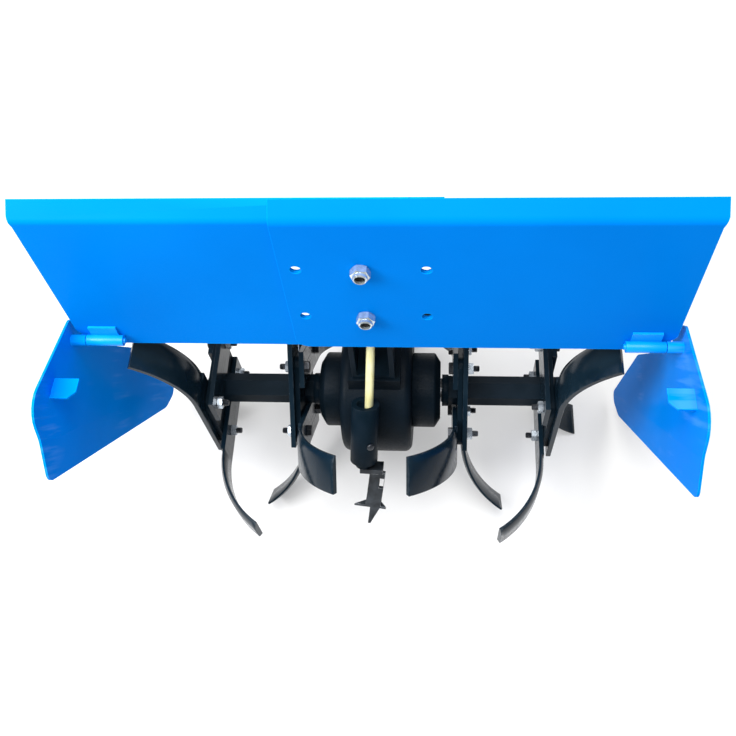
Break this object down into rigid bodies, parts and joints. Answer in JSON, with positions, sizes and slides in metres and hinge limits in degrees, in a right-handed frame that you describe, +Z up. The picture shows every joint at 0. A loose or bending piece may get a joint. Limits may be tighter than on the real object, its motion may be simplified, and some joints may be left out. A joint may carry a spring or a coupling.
{
  "type": "rotary tiller attachment",
  "caption": "Rotary tiller attachment with bent tines on a hexagonal shaft either side of a gear case, a sheet hood with hinged side wings, a depth stake and a flanged coupling.",
  "frame": {"origin": "floor level, under the middle of the part's box as it parks", "axes": "+X along the rotor axis to the right seen from behind, +Y forward towards the tractor coupling, +Z up"},
  "size_m": [0.653, 0.4532, 0.579],
  "materials": {
    "blue_paint": "gloss powder coat",
    "black_paint": "satin black paint",
    "black_casting": "black painted casting",
    "tine_steel": "black painted spring steel",
    "ground_steel": "ground",
    "zinc": "bright zinc plate",
    "yellow_zinc": "yellow zinc plate",
    "worn_steel": "worn black paint on steel"
  },
  "bodies": {
    "frame": {"gear_case": "black_casting", "bearing_hub_left": "black_casting", "bearing_hub_right": "black_casting", "input_neck": "black_casting", "coupling_flange": "black_casting", "input_shaft": "ground_steel", "hood_bracket": "black_paint", "hood_panel_left": "blue_paint", "hood_panel_right": "blue_paint", "hinge_leaf_left": "blue_paint", "hinge_leaf_right": "blue_paint", "hinge_pin_left": "zinc", "hinge_pin_right": "zinc", "stake_socket": "black_paint"},
    "rotor": {"rotor_shaft": "ground_steel", "axle_left": "black_paint", "axle_right": "black_paint", "tine_flange_inner_left": "black_paint", "tine_flange_inner_right": "black_paint", "tine_flange_outer_left": "black_paint", "tine_flange_outer_right": "black_paint", "tine_inner_left_1": "tine_steel", "tine_inner_left_2": "tine_steel", "tine_inner_left_3": "tine_steel", "tine_inner_left_4": "tine_steel", "tine_inner_right_1": "tine_steel", "tine_inner_right_2": "tine_steel", "tine_inner_right_3": "tine_steel", "tine_inner_right_4": "tine_steel", "tine_outer_left_1": "tine_steel", "tine_outer_left_2": "tine_steel", "tine_outer_left_3": "tine_steel", "tine_outer_left_4": "tine_steel", "tine_outer_right_1": "tine_steel", "tine_outer_right_2": "tine_steel", "tine_outer_right_3": "tine_steel", "tine_outer_right_4": "tine_steel"},
    "wing_left": {"wing_left": "blue_paint"},
    "wing_right": {"wing_right": "blue_paint"},
    "stake": {"stake_shank": "black_paint", "stake_rod": "yellow_zinc", "stake_foot": "worn_steel"}
  },
  "joints": [
    {"name": "rotor_spin", "type": "hinge", "parent": "frame", "child": "rotor", "pos_m": [0, -0.01651, 0.17614], "axis": [1, 0, 0], "continuous": true},
    {"name": "wing_left_swing", "type": "hinge", "parent": "frame", "child": "wing_left", "pos_m": [-0.32, -0.07651, 0.38014], "axis": [-1, 0, 0], "range_deg": [-25, 70]},
    {"name": "wing_right_swing", "type": "hinge", "parent": "frame", "child": "wing_right", "pos_m": [0.32, -0.07901, 0.38014], "axis": [-1, 0, 0], "range_deg": [-25, 70]},
    {"name": "stake_slide", "type": "slide", "parent": "frame", "child": "stake", "axis": [-0.0523, -0.4993, -0.8648], "range_m": [0, 0.04]}
  ]
}
